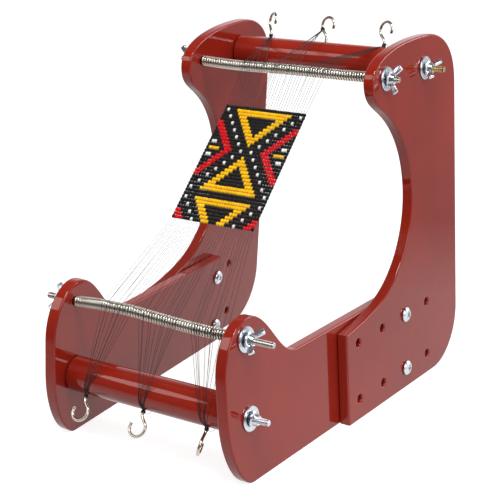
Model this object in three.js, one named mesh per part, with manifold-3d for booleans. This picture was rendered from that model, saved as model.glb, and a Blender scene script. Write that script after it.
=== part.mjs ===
// Standing bead loom. Two bolted side frames carry two round warp beams with
// screw hooks and two threaded rods inside coil springs, and a strip of bead
// weaving hangs on its warp between the springs.
// Millimetres: X runs across, Y from front to back, Z up. The pieces are laid
// out from a point on the table under the front column of bolt holes, and the
// whole is then moved until the origin is under the middle of its outline.
import * as THREE from 'three';
import { mergeVertices } from 'three/addons/utils/BufferGeometryUtils.js';
import Module from 'manifold-3d';

const wasm = await Module();
wasm.setup();

// Driving dimensions
const GAP = 0.3;                 // between pieces that touch
const INNER_WIDTH = 120;         // between the front boards at the front beam
const BOARD = 7.5;               // thickness of every board
const TWIST = 4.4;               // degrees the rods draw each side frame in
const FRONT_LENGTH = 207;        // front board, front edge to rear edge
const FRONT_HEIGHT = 99.5;       // front board, at its rounded nose
const FRONT_NOSE_Y = -132.5;     // foremost point of the front board
const FRONT_NOSE_RADIUS = 25;
const FRONT_RAIL_Z = 65;         // straight top edge of the front board
const REAR_FRONT_Y = -14;        // front edge of the rear board
const REAR_BACK_Y = 140;         // back edge of the rear board
const REAR_HEIGHT = 233;
const REAR_HEEL_RADIUS = 38;     // rounded lower back corner
const LEVELLED = 2;              // planed off under the boards, so they stand flat
const WAIST = { y: 7.4, z: 132, radius: 67.3 };   // round bay under the top rod
// Rods: bow is the rise in the middle, out the ends beyond the boards, left and right
const FRONT_ROD = { y: -112, z: 88, bow: 2.6, out: [13, 19.2] };
const TOP_ROD = { y: 42, z: 212.7, bow: 0.6, out: [9, 9.6] };
const FRONT_BEAM = { y: -111.5, z: 40, out: [13, 13] };   // out: the studs beyond the boards
const TOP_BEAM = { y: 94, z: 212.5, out: [13, 14.5] };
const BEAM_RADIUS = 11;
const ROD_RADIUS = 2;
const STUD_DEPTH = 20;           // stud inside the beam
const CLEARANCE = 0.5;           // round rods and studs in the boards
const SPRING_WIRE = 1.1;
const SPRING_ROOM = 0.45;        // between a rod and its spring
const SPRING_CURLS = 30;
const WASHER = { radius: 7.6, thickness: 1.2 };
const NUT = { baseRadius: 4.8, neckRadius: 3.7, height: 5, span: 18.8, reach: 7.6, tip: 2, wing: 2 };
const HOLE_PITCH = 31.2;
const HOLE_COLUMNS = 4;
const HOLE_ROWS = [12.5, 50.5];
const BOLTED_COLUMN = 2;         // counted from 0 at the front
const BOLT = { radius: 2.4, head: 4.9, headHeight: 2.6, tail: 5 };
const HEX = { radius: 4.6, height: 3.4 };
const HOOK = { wire: 1.9, radius: 5.4, neck: 11.6, screw: 8, opening: 65 };
const FRONT_HOOKS = { angle: 232, x: [-45.7, -2.4, 42.9], turn: [0, 0, 66] };   // angle from +Y
const TOP_HOOKS = { angle: 75, x: [-44, 0, 44], turn: [142, 165, 160] };
const BEAD_COLUMNS = 31;
const BEAD_ROWS = 35;
const BEAD = { width: 1.9, height: 2.63, thickness: 2.4 };
const BAND_CENTRE_X = 7.4;
const BAND_TOP = 38.2;           // from the top rod down to the band
const BAND_LEAN = 3;             // degrees its columns lean, while its rows stay level
const THREAD_RADIUS = 0.28;
const THREAD_SPREAD = 88;        // outer threads apart where they cross a spring
const KNOT = { height: 2.2, wall: 1.1 };

const RED_PAINT = { color: 0x8c2a22, roughness: 0.28, metalness: 0 };
const ZINC = { color: 0xc9ced2, roughness: 0.3, metalness: 1 };
const NICKEL = { color: 0xb9b2a6, roughness: 0.25, metalness: 1 };
const THREAD = { color: 0x2c2b2d, roughness: 0.8, metalness: 0 };
const BEADS = { color: 0x17161a, roughness: 0.25, metalness: 0 };

const loom = new THREE.Group();
const radians = THREE.MathUtils.degToRad;
const springRadius = ROD_RADIUS + SPRING_ROOM + SPRING_WIRE;     // outside

// Solids
function toSolid(geometry) {
  const bare = geometry.clone();
  bare.deleteAttribute('normal');
  bare.deleteAttribute('uv');
  const merged = mergeVertices(bare, 1e-4);
  return new wasm.Manifold(new wasm.Mesh({
    numProp: 3,
    vertProperties: new Float32Array(merged.attributes.position.array),
    triVerts: new Uint32Array(merged.index.array),
  }));
}

function toGeometry(solid) {
  const mesh = solid.getMesh();
  const geometry = new THREE.BufferGeometry();
  geometry.setAttribute('position', new THREE.BufferAttribute(mesh.vertProperties, 3));
  geometry.setIndex(new THREE.BufferAttribute(mesh.triVerts, 1));
  geometry.computeVertexNormals();
  return geometry;
}

function cut(geometry, cutters) {
  return toGeometry(cutters.reduce((solid, cutter) => solid.subtract(toSolid(cutter)), toSolid(geometry)));
}

function join(geometries) {
  const [first, ...others] = geometries.map(toSolid);
  return toGeometry(others.reduce((solid, other) => solid.add(other), first));
}

function addPiece(parent, name, geometry, finish) {
  const mesh = new THREE.Mesh(geometry, new THREE.MeshStandardMaterial(finish));
  mesh.name = name;
  parent.add(mesh);
  return mesh;
}

// A closed profile of [along X, radius] points turned about the X axis.
function turned(profile, sides) {
  const points = [...profile, profile[0]].map(([x, r]) => new THREE.Vector2(r, x));
  if (THREE.ShapeUtils.area(points) < 0) points.reverse();
  return new THREE.LatheGeometry(points, sides).rotateZ(-Math.PI / 2);
}

function rod(end, otherEnd, radius, sides = 16) {
  const [x0, x1] = [Math.min(end, otherEnd), Math.max(end, otherEnd)];
  const bevel = radius * 0.2;
  return turned([
    [x0, 0], [x0, radius - bevel], [x0 + bevel, radius],
    [x1 - bevel, radius], [x1, radius - bevel], [x1, 0],
  ], sides);
}

function ring(x0, x1, inner, outer, sides = 14) {
  return turned([[x0, inner], [x0, outer], [x1, outer], [x1, inner]], sides);
}

function drill(y, z, radius, sides = 16) {
  const reach = 3 * INNER_WIDTH;
  return new THREE.CylinderGeometry(radius, radius, reach, sides).rotateZ(Math.PI / 2).translate(0, y, z);
}

// A plate with its outline in the YZ plane, from x0 to x1.
function plate(outline, x0, x1, curveSegments = 12) {
  const toSide = new THREE.Matrix4().makeBasis(
    new THREE.Vector3(0, 1, 0), new THREE.Vector3(0, 0, 1), new THREE.Vector3(1, 0, 0),
  );
  const depth = Math.abs(x1 - x0);
  return new THREE.ExtrudeGeometry(outline, { depth, bevelEnabled: false, curveSegments })
    .applyMatrix4(toSide).translate(Math.min(x0, x1), 0, 0);
}

function tube(path, radius, steps, sides) {
  const section = new THREE.Shape();
  for (let k = 0; k < sides; k += 1) {
    const angle = 2 * Math.PI * k / sides;
    section[k ? 'lineTo' : 'moveTo'](radius * Math.cos(angle), radius * Math.sin(angle));
  }
  return new THREE.ExtrudeGeometry(section, { extrudePath: path, steps, bevelEnabled: false });
}

// Side frames. Each turns a little about the line through its beam ends, so
// its rods draw the nose and the top corner in and the heel stands out.
const beamLine = new THREE.Vector3(0, TOP_BEAM.y - FRONT_BEAM.y, TOP_BEAM.z - FRONT_BEAM.z).normalize();

function sideFrame(side) {
  const pivot = new THREE.Group();
  pivot.position.set(side * INNER_WIDTH / 2, FRONT_BEAM.y, FRONT_BEAM.z);
  pivot.quaternion.setFromAxisAngle(beamLine, -side * radians(TWIST));
  const plane = new THREE.Group();
  plane.position.set(0, -FRONT_BEAM.y, -FRONT_BEAM.z);
  pivot.add(plane);
  loom.add(pivot);
  pivot.updateMatrixWorld(true);
  return plane;
}

const FRONT_OUTER = BOARD;                  // distances out from the inner face
const REAR_INNER = BOARD + GAP;
const REAR_OUTER = 2 * BOARD + GAP;

// World X where a level line at (y, z) meets the frame's plane at a depth.
function planeX(frame, side, depth, { y, z }) {
  const origin = frame.localToWorld(new THREE.Vector3(side * depth, 0, 0));
  const normal = new THREE.Vector3(1, 0, 0).transformDirection(frame.matrixWorld);
  return origin.x - ((y - origin.y) * normal.y + (z - origin.z) * normal.z) / normal.x;
}

function levelHole(frame, place, radius) {
  return drill(place.y, place.z, radius, 14).applyMatrix4(frame.matrixWorld.clone().invert());
}

function tableCut(frame) {
  return new THREE.BoxGeometry(4 * INNER_WIDTH, 2 * REAR_HEIGHT, 2 * LEVELLED + 10)
    .translate(0, 0, -LEVELLED - 5).applyMatrix4(frame.matrixWorld.clone().invert());
}

const rodHole = ROD_RADIUS + CLEARANCE;
const boltHole = BOLT.radius + GAP;
const boltY = HOLE_PITCH * BOLTED_COLUMN;

function frontOutline() {
  const back = FRONT_NOSE_Y + FRONT_LENGTH;
  const noseY = FRONT_NOSE_Y + FRONT_NOSE_RADIUS;
  const noseZ = FRONT_HEIGHT - FRONT_NOSE_RADIUS;
  const corner = 8;
  const shape = new THREE.Shape();
  shape.moveTo(back, -LEVELLED);
  shape.lineTo(noseY, -LEVELLED);
  shape.bezierCurveTo(noseY - 14, 1 - LEVELLED, FRONT_NOSE_Y, 22, FRONT_NOSE_Y, 46);
  shape.lineTo(FRONT_NOSE_Y, noseZ - 8);
  shape.bezierCurveTo(FRONT_NOSE_Y, noseZ + 12, noseY - 12, FRONT_HEIGHT, noseY, FRONT_HEIGHT);
  shape.bezierCurveTo(noseY + 20, FRONT_HEIGHT, noseY + 31, FRONT_RAIL_Z, noseY + 48, FRONT_RAIL_Z);
  shape.lineTo(back - corner, FRONT_RAIL_Z);
  shape.absarc(back - corner, FRONT_RAIL_Z - corner, corner, Math.PI / 2, 0, true);
  shape.lineTo(back, -LEVELLED);
  return shape;
}

function rearOutline() {
  const apexY = TOP_BEAM.y + 4;
  const [noseY, noseZ] = [TOP_ROD.y - 15.6, TOP_ROD.z - 2.7];
  const bay = (degrees) => [
    WAIST.y + WAIST.radius * Math.cos(radians(degrees)),
    WAIST.z + WAIST.radius * Math.sin(radians(degrees)),
  ];
  const [lowY, lowZ] = bay(-72);
  const [highY, highZ] = bay(56);
  const heel = REAR_HEEL_RADIUS;
  const shape = new THREE.Shape();
  shape.moveTo(REAR_FRONT_Y, -LEVELLED);
  shape.lineTo(REAR_BACK_Y - heel, -LEVELLED);
  shape.absarc(REAR_BACK_Y - heel, heel - LEVELLED, heel, -Math.PI / 2, 0, false);
  shape.lineTo(REAR_BACK_Y, noseZ - 13);
  shape.bezierCurveTo(REAR_BACK_Y, REAR_HEIGHT - 10, apexY + 22, REAR_HEIGHT, apexY, REAR_HEIGHT);
  shape.bezierCurveTo(apexY - 32, REAR_HEIGHT, noseY, REAR_HEIGHT - 5, noseY, noseZ);
  shape.bezierCurveTo(noseY, noseZ - 13, highY - 8, highZ + 6, highY, highZ);
  shape.absarc(WAIST.y, WAIST.z, WAIST.radius, radians(56), radians(-72), true);
  shape.bezierCurveTo(lowY - 12, lowZ - 4, REAR_FRONT_Y + 14, 61, REAR_FRONT_Y, 59.5);
  shape.lineTo(REAR_FRONT_Y, -LEVELLED);
  return shape;
}

function buildBoards(frame, side, sideName) {
  const holes = HOLE_ROWS.flatMap((z) => Array.from({ length: HOLE_COLUMNS }, (_, k) => ({ y: k * HOLE_PITCH, z })));
  const bolted = holes.filter(({ y }) => y === boltY);
  addPiece(frame, `${sideName}_front_board`, cut(plate(frontOutline(), 0, side * FRONT_OUTER), [
    levelHole(frame, FRONT_ROD, rodHole), levelHole(frame, FRONT_BEAM, rodHole), tableCut(frame),
    ...bolted.map(({ y, z }) => drill(y, z, boltHole, 10)),
  ]), RED_PAINT);
  addPiece(frame, `${sideName}_rear_board`, cut(plate(rearOutline(), side * REAR_INNER, side * REAR_OUTER), [
    levelHole(frame, TOP_ROD, rodHole), levelHole(frame, TOP_BEAM, rodHole), tableCut(frame),
    ...holes.map(({ y, z }) => drill(y, z, boltHole, 10)),
  ]), RED_PAINT);
}

// Pan-head screws through both boards, heads towards +X on both sides, and
// their hexagon nuts on the other face.
function buildBolts(frame, side, sideName) {
  const faces = side > 0 ? [0, REAR_OUTER] : [-REAR_OUTER, 0];
  const seat = faces[1] + GAP;
  const nutFace = faces[0] - GAP;
  HOLE_ROWS.forEach((z, row) => {
    const level = row ? 'upper' : 'lower';
    const { radius, head, headHeight, tail } = BOLT;
    const profile = [
      [nutFace - tail, 0], [nutFace - tail, radius - 0.4], [nutFace - tail + 0.4, radius], [seat, radius],
      [seat, head], [seat + headHeight * 0.35, head], [seat + headHeight * 0.75, head * 0.78],
      [seat + headHeight, head * 0.4], [seat + headHeight, 0],
    ];
    const slot = [new THREE.BoxGeometry(2.4, 5, 0.9), new THREE.BoxGeometry(2.4, 0.9, 5)]
      .map((bar) => bar.translate(seat + headHeight, 0, 0));
    addPiece(frame, `${sideName}_${level}_bolt`, cut(turned(profile, 12), slot), ZINC).position.set(0, boltY, z);
    const nut = turned([
      [nutFace - HEX.height, radius + GAP], [nutFace - HEX.height, HEX.radius],
      [nutFace, HEX.radius], [nutFace, radius + GAP],
    ], 6);
    addPiece(frame, `${sideName}_${level}_bolt_nut`, cutRound(nut, radius + GAP, nutFace), ZINC)
      .position.set(0, boltY, z);
  });
}

// A hexagon from a six-sided turning, opened to a round bore.
function cutRound(hexagon, bore, face) {
  return cut(hexagon, [rod(face - 2 * HEX.height, face + HEX.height, bore, 12)]);
}

// Rods and studs end with a flat washer and a wing nut on each side.
function wingNut(side, angle) {
  const { baseRadius, neckRadius, height, span, reach, tip, wing } = NUT;
  const bore = ROD_RADIUS + GAP;
  const boss = turned([[0, bore], [0, baseRadius], [height, neckRadius], [height, bore]], 12);
  const [tipX, tipY] = [reach - tip, span / 2 - tip];
  const outline = new THREE.Shape();
  outline.moveTo(1.2, 3.2);
  outline.lineTo(3.2, 3.2);
  outline.bezierCurveTo(tipX - 0.4, 4.2, tipX + 1.2, 4.8, tipX + tip, tipY);
  outline.absarc(tipX, tipY, tip, 0, radians(150), false);
  outline.bezierCurveTo(tipX - 2.4, tipY - 1, 2, 5.4, 1.2, 4.4);
  outline.lineTo(1.2, 3.2);
  const blade = new THREE.ExtrudeGeometry(outline, { depth: wing, bevelEnabled: false, curveSegments: 3 })
    .translate(0, 0, -wing / 2);
  const upper = blade.clone();
  const lower = blade.rotateX(Math.PI);
  const bored = toSolid(join([boss, upper, lower])).subtract(toSolid(rod(-height, 3 * height, bore, 12)));
  const nut = toGeometry(bored).rotateX(radians(angle));
  return side > 0 ? nut : nut.rotateZ(Math.PI);
}

const washerTilt = Math.tan(radians(TWIST));

function buildClamp(frame, side, place, depth, name, angle) {
  const face = depth + GAP;
  const centre = frame.worldToLocal(new THREE.Vector3(planeX(frame, side, face, place), place.y, place.z));
  const bore = ROD_RADIUS + CLEARANCE;
  addPiece(frame, `${name}_washer`, ring(0, side * WASHER.thickness, bore, WASHER.radius), ZINC)
    .position.set(side * face, centre.y, centre.z);
  const lift = NUT.baseRadius * washerTilt + GAP;
  const seat = planeX(frame, side, face + WASHER.thickness, place) + side * lift;
  addPiece(loom, `${name}_wing_nut`, wingNut(side, angle), ZINC).position.set(seat, place.y, place.z);
}

// Bowed centre line shared by a rod and the spring round it.
function bowed(place, half) {
  return (x) => {
    const rise = Math.abs(x) < half ? place.bow * (1 + Math.cos(Math.PI * x / half)) / 2 : 0;
    return new THREE.Vector3(x, place.y + rise / 2, place.z + rise * Math.sqrt(3) / 2);
  };
}

function buildRod(name, place, inner, outer) {
  const line = bowed(place, inner);
  const stops = [-outer - place.out[0], -inner];
  for (let k = -4; k <= 4; k += 1) stops.push(inner * k / 5);
  stops.push(inner, outer + place.out[1]);
  const rings = stops.map((x) => line(x));
  addPiece(loom, name, skinned(rings.map((centre) => circleAt(centre, ROD_RADIUS, 10))), ZINC);
}

function circleAt(centre, radius, sides) {
  return Array.from({ length: sides }, (_, k) => {
    const angle = 2 * Math.PI * k / sides;
    return new THREE.Vector3(centre.x, centre.y + radius * Math.cos(angle), centre.z + radius * Math.sin(angle));
  });
}

// A closed body through a row of rings of points, each with as many points.
function skinned(rings) {
  const sides = rings[0].length;
  const points = rings.flat();
  const triangles = [];
  for (let r = 0; r + 1 < rings.length; r += 1) {
    for (let k = 0; k < sides; k += 1) {
      const a = r * sides + k;
      const b = r * sides + (k + 1) % sides;
      triangles.push(a, b, b + sides, a, b + sides, a + sides);
    }
  }
  const last = (rings.length - 1) * sides;
  for (let k = 1; k + 1 < sides; k += 1) {
    triangles.push(0, k + 1, k, last, last + k, last + k + 1);
  }
  const geometry = new THREE.BufferGeometry().setFromPoints(points);
  geometry.setIndex(triangles);
  geometry.computeVertexNormals();
  return geometry;
}

// Coil spring: one wire that winds round the bowed rod, with its ends straight
// for one wire diameter, square to the boards.
function buildSpring(name, place, half) {
  const line = bowed(place, half);
  const coilRadius = springRadius - SPRING_WIRE / 2;
  const coilHalf = half - GAP - SPRING_WIRE;
  const steps = 8 * SPRING_CURLS;
  const centres = [];
  for (let k = 0; k <= steps; k += 1) {
    const angle = 2 * Math.PI * k / 8;
    const x = -coilHalf + 2 * coilHalf * k / steps;
    const centre = line(x);
    centres.push(centre.add(new THREE.Vector3(0, coilRadius * Math.cos(angle), coilRadius * Math.sin(angle))));
  }
  const first = centres[0].clone().setX(-half + GAP);
  const last = centres[steps].clone().setX(half - GAP);
  const path = [first, ...centres, last];
  const rings = path.map((centre, k) => {
    const along = (path[k + 1] ?? centre).clone().sub(path[k - 1] ?? centre).normalize();
    const out = centre.clone().sub(line(centre.x));
    out.addScaledVector(along, -out.dot(along)).normalize();
    const across = along.clone().cross(out);
    return Array.from({ length: 5 }, (_, j) => {
      const angle = 2 * Math.PI * j / 5;
      return centre.clone()
        .addScaledVector(out, SPRING_WIRE / 2 * Math.cos(angle))
        .addScaledVector(across, SPRING_WIRE / 2 * Math.sin(angle));
    });
  });
  addPiece(loom, name, skinned(rings), NICKEL);
  return path;
}

// Least distance between parts of a wire that are at least half a curl apart.
function leastGap(path) {
  const points = path.flatMap((point, k) => (path[k + 1] ? [point, point.clone().lerp(path[k + 1], 0.5)] : [point]));
  let least = Infinity;
  for (let a = 0; a < points.length; a += 1) {
    for (let b = a + 8; b < Math.min(points.length, a + 40); b += 1) {
      least = Math.min(least, points[a].distanceTo(points[b]));
    }
  }
  return least - SPRING_WIRE;
}

// Warp beams: a dowel with a bore for each stud and a hole for each hook.
function buildBeam(name, place, half, hooks) {
  const slack = BEAM_RADIUS * washerTilt + GAP;
  const end = half - slack;
  const studBore = ROD_RADIUS + GAP;
  const bores = [-1, 1].map((side) => rod(side * (end - STUD_DEPTH), side * (end + 5), studBore, 10));
  const hookHoles = hooks.x.map((x) => {
    const depth = HOOK.screw + GAP;
    return new THREE.CylinderGeometry(HOOK.wire / 2 + GAP, HOOK.wire / 2 + GAP, 2 * depth, 8)
      .translate(0, BEAM_RADIUS, 0).applyMatrix4(hookFrame(hooks.angle)).translate(x, 0, 0);
  });
  const dowel = rod(-end, end, BEAM_RADIUS, 28);
  addPiece(loom, name, cut(dowel, [...bores, ...hookHoles]), RED_PAINT).position.set(0, place.y, place.z);
  return end;
}

// Turns +Y to the direction of the hooks on a beam.
function hookFrame(angle) {
  return new THREE.Matrix4().makeRotationX(radians(angle));
}

function buildStud(name, side, place, beamEnd, outer) {
  const inner = beamEnd - STUD_DEPTH + GAP;
  addPiece(loom, name, rod(side * inner, side * outer, ROD_RADIUS, 10), ZINC).position.set(0, place.y, place.z);
}

// A round screw hook that stands on +Y, its ring in the XY plane.
function hookGeometry() {
  const { radius, neck, screw, opening } = HOOK;
  const points = [[0, -screw], [0, 0], [0, 3], [0.9, 4.9]];
  const startAngle = -52;
  for (let angle = startAngle; angle <= 270 - opening; angle += 23) {
    points.push([radius * Math.cos(radians(angle)), neck + radius * Math.sin(radians(angle))]);
  }
  const path = new THREE.CatmullRomCurve3(points.map(([x, y]) => new THREE.Vector3(x, y, 0)), false, 'centripetal');
  return tube(path, HOOK.wire / 2, 22, 5);
}

function buildHook(name, place, hooks, k) {
  const geometry = hookGeometry().translate(0, BEAM_RADIUS, 0)
    .rotateY(radians(hooks.turn[k])).applyMatrix4(hookFrame(hooks.angle));
  addPiece(loom, name, geometry, NICKEL).position.set(hooks.x[k], place.y, place.z);
}

// Weaving and warp. The sheet runs along the tangent over both springs.
const warpOffset = springRadius + GAP + THREAD_RADIUS;
const sheetRun = new THREE.Vector2(TOP_ROD.y - FRONT_ROD.y, TOP_ROD.z - FRONT_ROD.z);
const sheetLength = sheetRun.length();
const sheetDirection = sheetRun.clone().normalize();
const sheetNormal = new THREE.Vector2(-sheetDirection.y, sheetDirection.x);
const bandLength = BEAD_ROWS * BEAD.height;
const bandSlant = Math.tan(radians(BAND_LEAN));
const bandCentre = sheetLength - BAND_TOP - bandLength / 2;

// A point of the warp sheet, at a distance from the front rod.
function onSheet(x, distance) {
  return new THREE.Vector3(
    x,
    FRONT_ROD.y + sheetDirection.x * distance + sheetNormal.x * warpOffset,
    FRONT_ROD.z + sheetDirection.y * distance + sheetNormal.y * warpOffset,
  );
}

// A point of the band, from its centre across and along it.
function onBand(across, along) {
  return onSheet(BAND_CENTRE_X + across - along * bandSlant, bandCentre + along);
}

function buildBand() {
  const outline = new THREE.Shape();
  const half = BEAD.thickness / 2;
  const dip = 0.5;
  const foot = -bandLength / 2;
  outline.moveTo(foot, -half + dip);
  for (let row = 0; row < BEAD_ROWS; row += 1) {
    const start = foot + row * BEAD.height;
    outline.lineTo(start + BEAD.height / 2, -half);
    outline.lineTo(start + BEAD.height, -half + dip);
  }
  for (let row = BEAD_ROWS - 1; row >= 0; row -= 1) {
    const start = foot + row * BEAD.height;
    outline.lineTo(start + BEAD.height, half - dip);
    outline.lineTo(start + BEAD.height / 2, half);
  }
  outline.lineTo(foot, half - dip);
  const width = BEAD_COLUMNS * BEAD.width;
  const slant = new THREE.Matrix4().makeShear(0, 0, -bandSlant, 0, 0, 0);
  const geometry = plate(outline, -width / 2, width / 2).applyMatrix4(slant);
  const band = addPiece(loom, 'bead_band', geometry, BEADS);
  band.position.copy(onSheet(BAND_CENTRE_X, bandCentre));
  band.rotation.x = Math.atan2(sheetDirection.y, sheetDirection.x);
}

// Points where a thread bends round a cylinder, outside its skin.
function roundCylinder(place, radius, fromAngle, toAngle, count) {
  const step = radians(toAngle - fromAngle) / (count - 1);
  const reach = radius / Math.cos(step / 2);
  return Array.from({ length: count }, (_, k) => {
    const angle = radians(fromAngle) + step * k;
    return [place.y + reach * Math.cos(angle), place.z + reach * Math.sin(angle)];
  });
}

function knotCentre(beam, angle) {
  const reach = BEAM_RADIUS + GAP + KNOT.height / 2;
  return [beam.y + reach * Math.cos(radians(angle)), beam.z + reach * Math.sin(radians(angle))];
}

function buildKnot(beam, angle, x) {
  const inner = HOOK.wire / 2 + GAP;
  const collar = ring(-KNOT.height / 2, KNOT.height / 2, inner, inner + KNOT.wall, 8);
  const [y, z] = knotCentre(beam, angle);
  return collar.rotateZ(Math.PI / 2).applyMatrix4(hookFrame(angle)).translate(x, y, z);
}

// One group of warp threads: from the band, round the spring and over the
// beam to the collar of thread tied round a hook.
function buildWarp(name, end, group) {
  const { beam, hooks, route, bandEnd, hookSide } = end;
  const hookAngle = hooks.angle;
  const hookX = hooks.x[group];
  const [knotY, knotZ] = knotCentre(beam, hookAngle);
  const knotIn = HOOK.wire / 2 + GAP + KNOT.wall / 2;
  const threadCount = BEAD_COLUMNS + 1;
  const threads = [];
  for (let k = 0; k < threadCount; k += 1) {
    if (Math.floor(3 * k / threadCount) !== group) continue;
    const share = k / (threadCount - 1) - 0.5;
    const springX = share * THREAD_SPREAD;
    const start = onBand(share * BEAD_COLUMNS * BEAD.width * 0.97, bandEnd);
    const knotAngle = radians(hookAngle + hookSide * 90);
    const lean = share * 3 - (group - 1);
    const finish = new THREE.Vector3(
      hookX + knotIn * Math.sin(lean * 1.2),
      knotY + knotIn * Math.cos(knotAngle) * Math.cos(lean * 1.2),
      knotZ + knotIn * Math.sin(knotAngle) * Math.cos(lean * 1.2),
    );
    const run = [start];
    const lengths = [0];
    for (let p = 1; p < route.length; p += 1) {
      lengths.push(lengths[p - 1] + Math.hypot(route[p][0] - route[p - 1][0], route[p][1] - route[p - 1][1]));
    }
    const whole = lengths[lengths.length - 1] + Math.hypot(finish.y - route.at(-1)[0], finish.z - route.at(-1)[1]);
    const rise = end.line(springX).sub(new THREE.Vector3(springX, end.rod.y, end.rod.z));
    route.forEach(([y, z], p) => {
      const offSpring = Math.max(0, lengths[p] - lengths[end.springPoints - 1]);
      const point = new THREE.Vector3(THREE.MathUtils.lerp(springX, finish.x, offSpring / whole), y, z);
      run.push(offSpring ? point : point.add(rise));
    });
    run.push(finish);
    threads.push(skinned(run.map((point, p) => threadSection(run, point, p))));
  }
  addPiece(loom, name, join([buildKnot(beam, hookAngle, hookX), ...threads]), THREAD);
}

// A three-sided section square to the run, with a flat side to the inside.
function threadSection(run, point, p) {
  const along = (run[p + 1] ?? point).clone().sub(run[p - 1] ?? point).normalize();
  const across = new THREE.Vector3(1, 0, 0).addScaledVector(along, -along.x).normalize();
  const up = along.clone().cross(across);
  return [90, 210, 330].map((degrees) => {
    const angle = radians(degrees);
    return point.clone()
      .addScaledVector(across, THREAD_RADIUS * Math.cos(angle))
      .addScaledVector(up, THREAD_RADIUS * Math.sin(angle));
  });
}

// Assembly
const SIDES = [{ side: -1, name: 'left' }, { side: 1, name: 'right' }];
const frames = SIDES.map(({ side, name }) => {
  const frame = sideFrame(side);
  buildBoards(frame, side, name);
  buildBolts(frame, side, name);
  return frame;
});

const LEVELS = [
  { rod: 'front_rod', place: FRONT_ROD, inner: 0, outer: FRONT_OUTER, angles: [130, 33] },
  { rod: 'top_rod', place: TOP_ROD, inner: REAR_INNER, outer: REAR_OUTER, angles: [90, 67] },
];
const rodLines = {};
for (const { rod: name, place, inner, outer, angles } of LEVELS) {
  const innerX = planeX(frames[1], 1, inner, place);
  rodLines[name] = bowed(place, innerX);
  const outerX = planeX(frames[1], 1, outer, place);
  const nose = springRadius * washerTilt;
  buildRod(name, place, innerX, outerX);
  const springHalf = innerX - nose;
  const path = buildSpring(name.replace('rod', 'spring'), place, springHalf);
  console.log(`${name} spring: least gap between turns ${leastGap(path).toFixed(2)} mm`);
  SIDES.forEach(({ side, name: sideName }, k) => {
    buildClamp(frames[k], side, place, outer, `${sideName}_${name}`, angles[k]);
  });
}

const BEAMS = [
  { name: 'front_beam', place: FRONT_BEAM, inner: 0, outer: FRONT_OUTER, hooks: FRONT_HOOKS, angles: [20, -36] },
  { name: 'top_beam', place: TOP_BEAM, inner: REAR_INNER, outer: REAR_OUTER, hooks: TOP_HOOKS, angles: [15, 33] },
];
for (const { name, place, inner, outer, hooks, angles } of BEAMS) {
  const innerX = planeX(frames[1], 1, inner, place);
  const outerX = planeX(frames[1], 1, outer, place);
  const beamEnd = buildBeam(name, place, innerX, hooks);
  SIDES.forEach(({ side, name: sideName }, k) => {
    buildStud(`${sideName}_${name}_stud`, side, place, beamEnd, outerX + place.out[k]);
    buildClamp(frames[k], side, place, outer, `${sideName}_${name}`, angles[k]);
  });
  ['left', 'middle', 'right'].forEach((position, k) => {
    buildHook(`${name}_${position}_hook`, place, hooks, k);
  });
}

buildBand();
const FRONT_END = {
  rod: FRONT_ROD,
  line: rodLines.front_rod,
  beam: FRONT_BEAM,
  hooks: FRONT_HOOKS,
  hookSide: -1,
  bandEnd: -bandLength / 2 - GAP,
  springPoints: 2,
  route: [
    ...roundCylinder(FRONT_ROD, warpOffset, 129, 180, 2),
    ...roundCylinder(FRONT_BEAM, BEAM_RADIUS + GAP + THREAD_RADIUS, 188, 214, 2),
  ],
};
const TOP_END = {
  rod: TOP_ROD,
  line: rodLines.top_rod,
  beam: TOP_BEAM,
  hooks: TOP_HOOKS,
  hookSide: 1,
  bandEnd: bandLength / 2 + GAP,
  springPoints: 2,
  route: [
    ...roundCylinder(TOP_ROD, warpOffset, 129, 99, 2),
    ...roundCylinder(TOP_BEAM, BEAM_RADIUS + GAP + THREAD_RADIUS, 112, 92, 2),
  ],
};
['left', 'middle', 'right'].forEach((position, group) => {
  buildWarp(`front_warp_${position}`, FRONT_END, group);
  buildWarp(`top_warp_${position}`, TOP_END, group);
});

const outlineBox = new THREE.Box3().setFromObject(loom, true);
const middle = outlineBox.getCenter(new THREE.Vector3());
loom.position.set(-middle.x, -middle.y, 0);

export default loom;
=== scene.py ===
import math
import random
from itertools import accumulate, pairwise

import bmesh
import bpy
from mathutils import Matrix, Vector


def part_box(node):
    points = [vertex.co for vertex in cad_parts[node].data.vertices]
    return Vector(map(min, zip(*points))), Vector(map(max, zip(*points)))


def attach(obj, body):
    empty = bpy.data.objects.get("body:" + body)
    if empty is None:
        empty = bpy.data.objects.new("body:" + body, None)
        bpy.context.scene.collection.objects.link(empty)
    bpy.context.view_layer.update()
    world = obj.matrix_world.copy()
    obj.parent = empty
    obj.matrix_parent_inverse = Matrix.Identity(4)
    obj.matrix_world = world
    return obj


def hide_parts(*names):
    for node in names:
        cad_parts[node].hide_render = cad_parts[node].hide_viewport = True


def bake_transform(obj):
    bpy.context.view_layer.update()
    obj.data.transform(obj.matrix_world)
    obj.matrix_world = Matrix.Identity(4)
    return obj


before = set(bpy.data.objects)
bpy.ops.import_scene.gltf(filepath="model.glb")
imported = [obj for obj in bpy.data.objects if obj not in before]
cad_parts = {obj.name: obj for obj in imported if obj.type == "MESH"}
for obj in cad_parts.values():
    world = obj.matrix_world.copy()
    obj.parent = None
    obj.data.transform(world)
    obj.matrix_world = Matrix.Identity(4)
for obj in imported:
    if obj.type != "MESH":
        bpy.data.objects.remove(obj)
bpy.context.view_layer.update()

bl_info = {
    "name": "Standing Bead Loom",
    "version": (1, 0, 0),
    "blender": (4, 5, 0),
    "location": "View3D > Sidebar > Bead Loom",
    "description": "Side frames, beams, hardware, warp and beadwork of a standing bead loom",
    "category": "Object",
}

MM = 0.001
SIDES = {"left": -1, "right": 1}
GROUPS = ("left", "middle", "right")

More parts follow.
